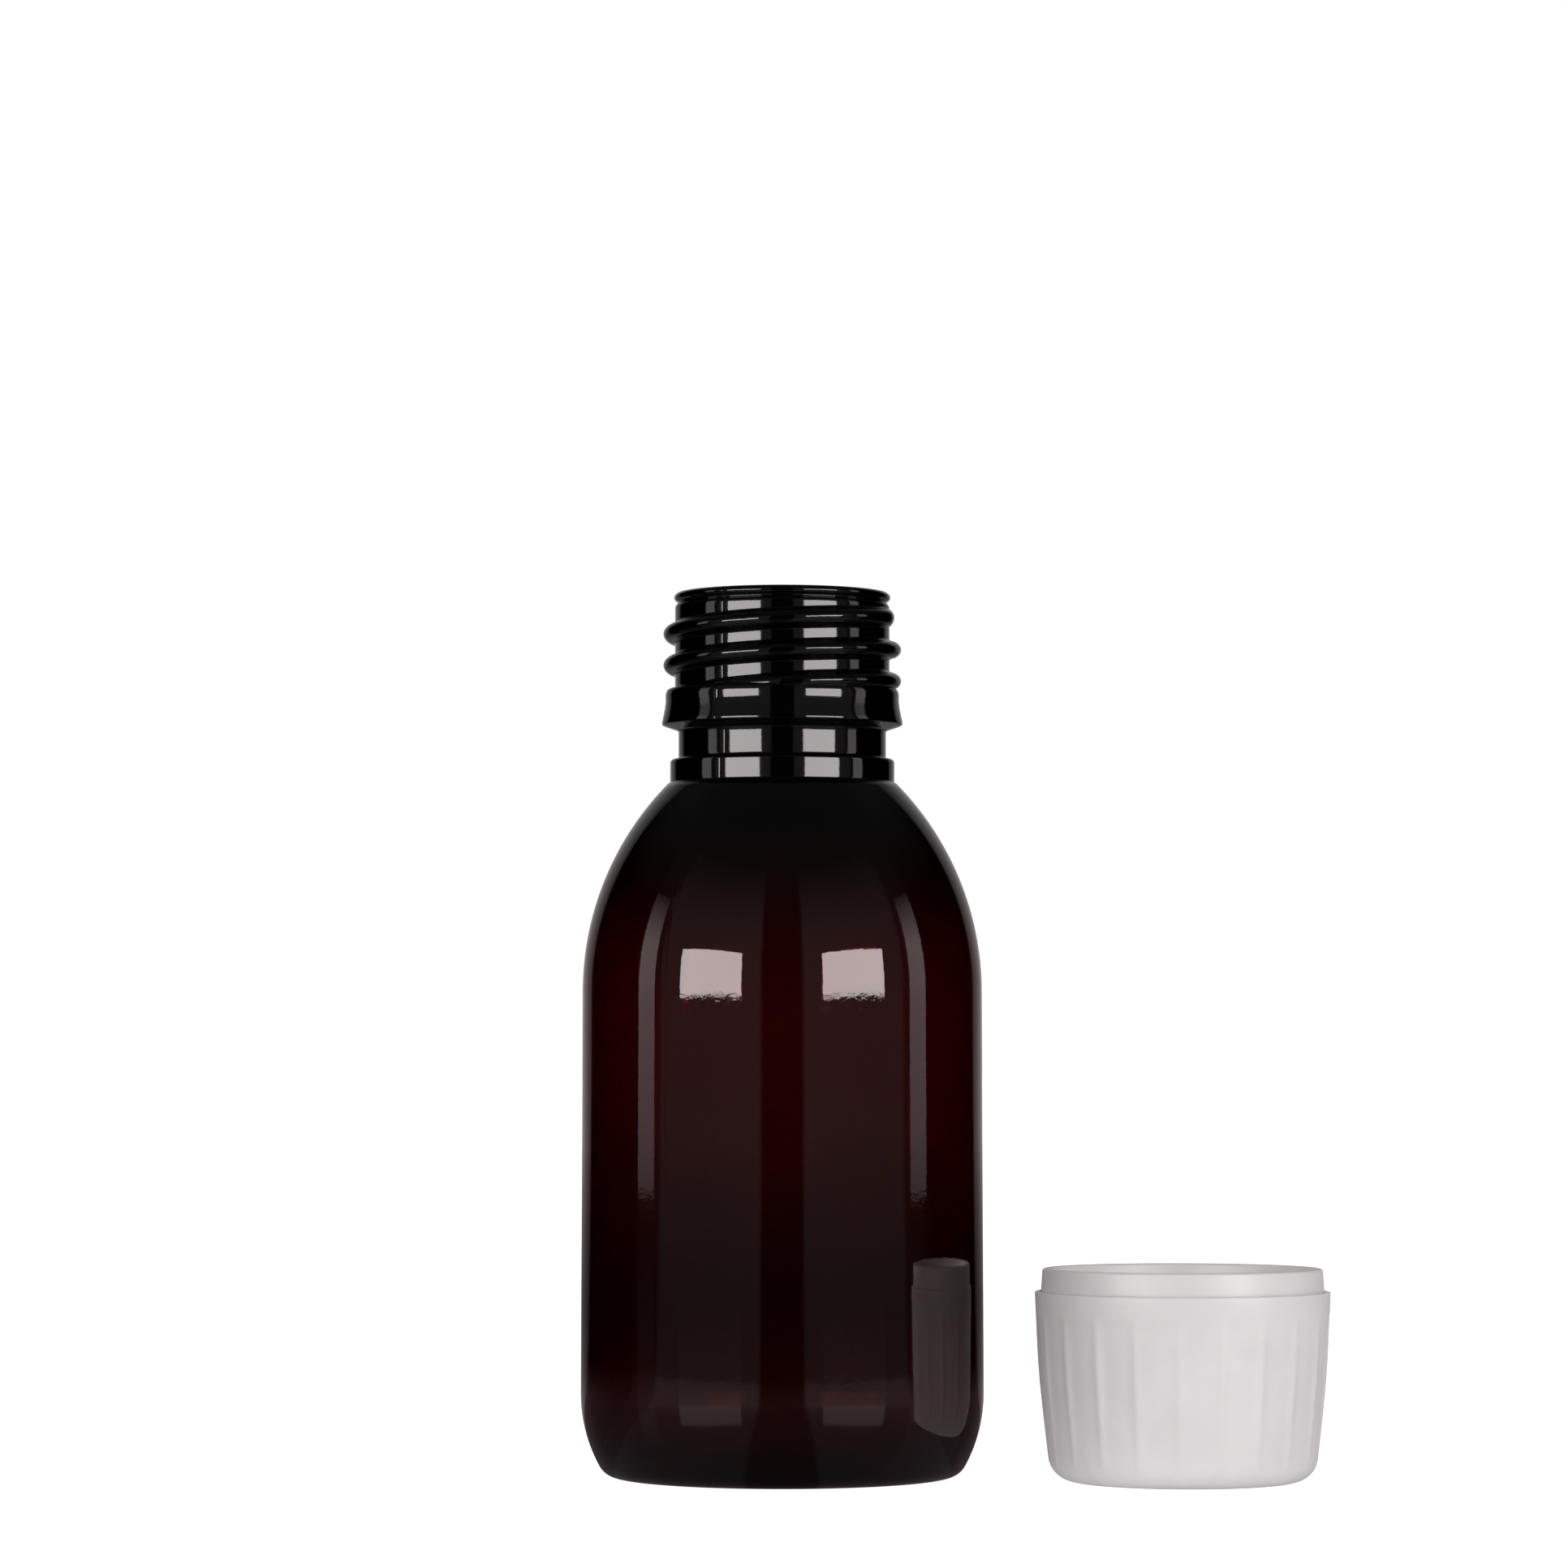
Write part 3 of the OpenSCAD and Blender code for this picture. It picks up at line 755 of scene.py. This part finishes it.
def make_thread_cap():
    bm = revolve(thread_cap_outside(), thread_cap_inside(), 240)
    # The inner thread is placed so that it falls between the turns of the neck's when shut
    stand_dir = math.degrees(math.atan2(CLOSURE_AXIS[1], CLOSURE_AXIS[0]))
    start_z = SEATED_TOP_Z - THREAD_TOP_Z + PITCH * (0.5 - (2 * stand_dir - 180) / 360)
    first = (INNER_UNDER + 5.2 - start_z) / PITCH * 360
    last = (BEAD_DEPTH - 0.87 - start_z) / PITCH * 360
    add_thread(bm, ROOT_R, -1, (CAP_THREAD_HALF_W, CAP_THREAD_H), start_z, (first, last),
               CAP_FADES)
    add_lugs(bm, INNER_TOP - LUG_H, INNER_TOP + 0.05, 0.5)
    return finish_piece("thread_cap", bm, CLOSURE_AXIS, 40, cap_white, "inner_cap",
                        "inner_cap_plastic", "inner_cap")


def make_liner():
    """Foam disc with a rounded rim and the faint ring that the lip has pressed into it."""
    liner_r = UPPER_R - 0.1
    lip_mid = (BORE_R + LIP_R) / 2
    low = soften([(0, LINER_LOW), (liner_r, LINER_LOW), (liner_r, (LINER_LOW + LINER_HIGH) / 2)],
                 0.2)
    high = soften([(liner_r, LINER_HIGH - 0.02), (LIP_R + 0.1, LINER_HIGH),
                   (lip_mid, LINER_HIGH - 0.06), (BORE_R - 0.1, LINER_HIGH), (0, LINER_HIGH)], 0.2)
    bm = revolve(low, high, 160)
    return finish_piece("sealing_disc", bm, CLOSURE_AXIS, 40, liner_white, "liner",
                        "liner_foam", "liner")


def make_band():
    """Tamper band with its folded flaps, which catch under the bead of the neck."""
    bm = bmesh.new()
    ring(bm, soften([
        (BAND_IN_R, BAND_START),
        (BAND_R - 0.45, BAND_START),
        (BAND_R, SHELL_H),
        (BAND_R - 0.17, CLOSURE_H - 0.15),
        (BAND_R - 0.37, CLOSURE_H),
        (BAND_IN_R + 0.2, CLOSURE_H),
        (BAND_IN_R, CLOSURE_H - 0.2),
    ], 0.15, closed=True), 224)
    tip_r, tip_z = GROOVE_R + 0.75, FLAP_DEPTH
    flap = soften([
        (BAND_IN_R + 0.1, tip_z + 0.38),
        (BAND_IN_R + 0.1, tip_z + 0.9),
        (BAND_IN_R - 0.3, tip_z + 0.9),
        (tip_r, tip_z + 0.25),
        (tip_r + 0.35, tip_z),
    ], 0.12, closed=True)
    for i in range(FLAPS):
        sector(bm, flap, i * 360 / FLAPS, 0.82 * 360 / FLAPS, 16)
    return finish_piece("tamper_ring", bm, CLOSURE_AXIS, 36, band_white, "inner_cap",
                        "band_plastic", "tamper_band")


def make_bridges():
    """Thin posts between the skirt and the band, waisted where they tear."""
    bm = bmesh.new()
    middle = (SKIRT_END + BAND_START) / 2
    section = [(BAND_IN_R, SKIRT_END), (SKIRT_R, SKIRT_END), (SKIRT_R - 0.12, middle),
               (SKIRT_R, BAND_START), (BAND_IN_R, BAND_START), (BAND_IN_R + 0.1, middle)]
    for i in range(BRIDGES):
        sector(bm, section, i * 360 / BRIDGES, 2.8, 3)
    return finish_piece("bridge_posts", bm, CLOSURE_AXIS, 36, band_white, "inner_cap",
                        "band_plastic", "frangible_bridges")


# ---------------------------------------------------------------- studio


def surroundings_luminance(tree, vector):
    """Brightness of the room by direction: dark beside the object and behind the camera."""
    parts = add(tree, "ShaderNodeSeparateXYZ", {"Vector": vector}).outputs
    sideways = maths(tree, "ABSOLUTE", parts["X"])
    forwards = maths(tree, "MULTIPLY", parts["Y"], -1.0)
    turned = maths(tree, "DIVIDE", maths(tree, "ARCTAN2", sideways, forwards), math.pi)
    degrees = [(0, 0.01), (11, 0.01), (13, 0.15), (72, 0.13), (75, 0.04), (90, 0.02),
               (93, 0.0), (142, 0.0), (145, 0.13), (160, 0.28), (168, 0.38)]
    return stops(tree, turned, [(angle / 180, grey) for angle, grey in degrees]), parts


def light_for_each_ray(tree, seen, diffuse, other):
    """Mixes three shaders: what the eye sees, what falls on matt faces and what gloss mirrors."""
    path = add(tree, "ShaderNodeLightPath").outputs
    indirect = add(tree, "ShaderNodeMixShader", {0: path["Is Diffuse Ray"], 1: other, 2: diffuse})
    return add(tree, "ShaderNodeMixShader",
               {0: path["Is Camera Ray"], 1: indirect.outputs[0], 2: seen}).outputs[0]


def make_room():
    """White to the eye, and a soft dark-sided studio to the object."""
    world = bpy.data.worlds.new("studio")
    scene.world = world
    world.use_nodes = True
    tree = world.node_tree
    tree.nodes.clear()
    direction = add(tree, "ShaderNodeTexCoord").outputs["Generated"]
    around, parts = surroundings_luminance(tree, direction)
    upwards = slope(tree, parts["Z"], 0.4, 0.75)
    ceiling = add(tree, "ShaderNodeMix", {"Factor": upwards}, data_type="RGBA")
    tree.links.new(around, ceiling.inputs[6])
    ceiling.inputs[7].default_value = (0.045, 0.045, 0.045, 1)
    mirrored = add(tree, "ShaderNodeBackground", {"Color": ceiling.outputs[2], "Strength": 1.0})
    # Matt faces get a weak even light, with more of it from behind and from above
    from_side = slope(tree, parts["X"], -0.6, 0.3, 0.1, 0.21)
    from_back = slope(tree, parts["Y"], 0.35, 0.9, 0.0, 0.6)
    from_top = slope(tree, parts["Z"], 0.55, 0.9, 0.0, 0.3)
    strength = maths(tree, "ADD", from_side, from_back)
    strength = maths(tree, "ADD", strength, from_top)
    fill = add(tree, "ShaderNodeBackground", {"Color": (1, 0.97, 0.97, 1), "Strength": strength})
    white = add(tree, "ShaderNodeBackground", {"Color": (1, 1, 1, 1), "Strength": 1.0})
    output = add(tree, "ShaderNodeOutputWorld")
    mixed = light_for_each_ray(tree, white.outputs[0], fill.outputs[0], mirrored.outputs[0])
    tree.links.new(mixed, output.inputs["Surface"])


def floor_glow(tree, where, around, parts):
    """What gloss mirrors of the floor: a lit table near the object, and a dark room beyond it."""
    reach = 5.0
    distance = add(tree, "ShaderNodeVectorMath", {0: where}, operation="LENGTH").outputs["Value"]
    share = maths(tree, "DIVIDE", distance, reach)
    # Brightness by distance in metres, against that of the room in the same direction: a painted
    # pool of light on the table up to a quarter metre in front, and painted shadow close to the
    # object, where it would shade the floor
    in_front = [(0.03, 0.35), (0.07, 0.6), (0.13, 1.2), (0.235, 1.45), (0.25, 0.6), (0.5, 0.6),
                (1.2, 0.8), (4.5, 1.0)]
    behind = [(0.05, 0.9), (0.12, 0.8), (0.2, 0.5), (0.43, 0.31), (0.95, 0.5), (2.5, 1.0)]
    near = stops(tree, share, [(metres / reach, grey) for metres, grey in in_front])
    far = stops(tree, share, [(metres / reach, grey) for metres, grey in behind])
    rear = maths(tree, "GREATER_THAN", parts["Y"], 0.0)
    fade = add(tree, "ShaderNodeMix", {"Factor": rear}, data_type="RGBA")
    tree.links.new(near, fade.inputs[6])
    tree.links.new(far, fade.inputs[7])
    glow = add(tree, "ShaderNodeEmission", {"Color": around, "Strength": fade.outputs[2]})
    # Painted light: a faint pink glow on the floor within a quarter metre of the object, as a lit
    # table would give
    table = stops(tree, share, [(0.15 / reach, (0.055, 0.04, 0.045)), (0.25 / reach, 0.0)])
    painted_table_glow = add(tree, "ShaderNodeEmission", {"Color": table, "Strength": 1.0})
    sheen = add(tree, "ShaderNodeBsdfGlossy", {"Color": (0.04, 0.04, 0.04, 1), "Roughness": 0.11})
    lit = add(tree, "ShaderNodeAddShader", {0: glow.outputs[0], 1: painted_table_glow.outputs[0]})
    return add(tree, "ShaderNodeAddShader", {0: lit.outputs[0], 1: sheen.outputs[0]}).outputs[0]


def pale_floor():
    """White to the eye, a source of bounced light to matt faces and a lit table to gloss."""
    material = bpy.data.materials.new("pale_floor")
    material.use_nodes = True
    tree = material.node_tree
    tree.nodes.clear()
    where = add(tree, "ShaderNodeTexCoord").outputs["Object"]
    around, parts = surroundings_luminance(tree, where)
    mirrored = floor_glow(tree, where, around, parts)
    # The bottle keeps light off the floor to its left, so less comes back up from there
    lit_side = slope(tree, parts["X"], 0.012, 0.036, 0.24, 0.61)
    bounce = add(tree, "ShaderNodeEmission", {"Color": (1, 0.97, 0.975, 1), "Strength": lit_side})
    paper = add(tree, "ShaderNodeBsdfDiffuse", {"Color": (0.8, 0.8, 0.8, 1)})
    lamp = add(tree, "ShaderNodeEmission", {"Color": (1, 1, 1, 1), "Strength": 0.93})
    pale = add(tree, "ShaderNodeAddShader", {0: paper.outputs[0], 1: lamp.outputs[0]})
    output = add(tree, "ShaderNodeOutputMaterial")
    mixed = light_for_each_ray(tree, pale.outputs[0], bounce.outputs[0], mirrored)
    tree.links.new(mixed, output.inputs["Surface"])
    return material


def make_floor():
    """A wide floor that meets the white room without an edge."""
    bm = bmesh.new()
    bmesh.ops.create_circle(bm, cap_ends=True, segments=96, radius=12)
    mesh = bpy.data.meshes.new("studio_floor")
    bm.to_mesh(mesh)
    bm.free()
    mesh.materials.append(pale_floor())
    floor = bpy.data.objects.new("studio_floor", mesh)
    scene.collection.objects.link(floor)


def area_light(name, turn, heights, half_angle, luminance, fall=None):
    """An upright light that faces the object, between two heights above the floor.

    Its fall is its brightness by height, from its lower edge at nought to its upper edge at one.
    """
    low, high = heights
    width = 2 * LIGHT_DISTANCE * math.tan(math.radians(half_angle))
    data = bpy.data.lights.new(name, "AREA")
    data.shape = "RECTANGLE"
    data.size = width
    data.size_y = high - low
    data.energy = luminance * math.pi * width * (high - low)
    data.color = (1, 0.945, 0.95)
    if fall:
        data.use_nodes = True
        tree = data.node_tree
        across = add(tree, "ShaderNodeNewGeometry").outputs["Parametric"]
        height = add(tree, "ShaderNodeSeparateXYZ", {"Vector": across}).outputs["Y"]
        tree.links.new(stops(tree, height, fall), tree.nodes["Emission"].inputs["Color"])
    light = bpy.data.objects.new(name, data)
    angle = math.radians(turn)
    light.location = (LIGHT_DISTANCE * math.sin(angle), -LIGHT_DISTANCE * math.cos(angle),
                      (low + high) / 2)
    light.rotation_euler = (math.radians(90), 0, angle)
    light.visible_camera = False
    scene.collection.objects.link(light)


def make_lights():
    for side, name in ((-1, "left"), (1, "right")):
        area_light(name + "_softbox", side * SOFTBOX_TURN, SOFTBOX_HEIGHTS,
                   SOFTBOX_HALF_ANGLE, luminance=7.7)
        area_light(name + "_strip", side * STRIP_TURN, STRIP_HEIGHTS,
                   STRIP_HALF_ANGLE, luminance=1.1, fall=STRIP_FALL)


def make_camera():
    data = bpy.data.cameras.new("view")
    data.sensor_width = CAMERA_SENSOR
    data.lens = CAMERA_LENS
    data.clip_start = 0.01
    camera = bpy.data.objects.new("view", data)
    camera.location = CAMERA_PLACE
    camera.rotation_euler = (math.radians(90 + CAMERA_TILT), 0, 0)
    scene.collection.objects.link(camera)
    scene.camera = camera


make_bottle()
make_grip_shell()
make_arrows()
make_fingers()
make_thread_cap()
make_liner()
make_band()
make_bridges()
make_room()
make_floor()
make_lights()
make_camera()

scene.view_settings.view_transform = "Standard"
scene.view_settings.look = "None"
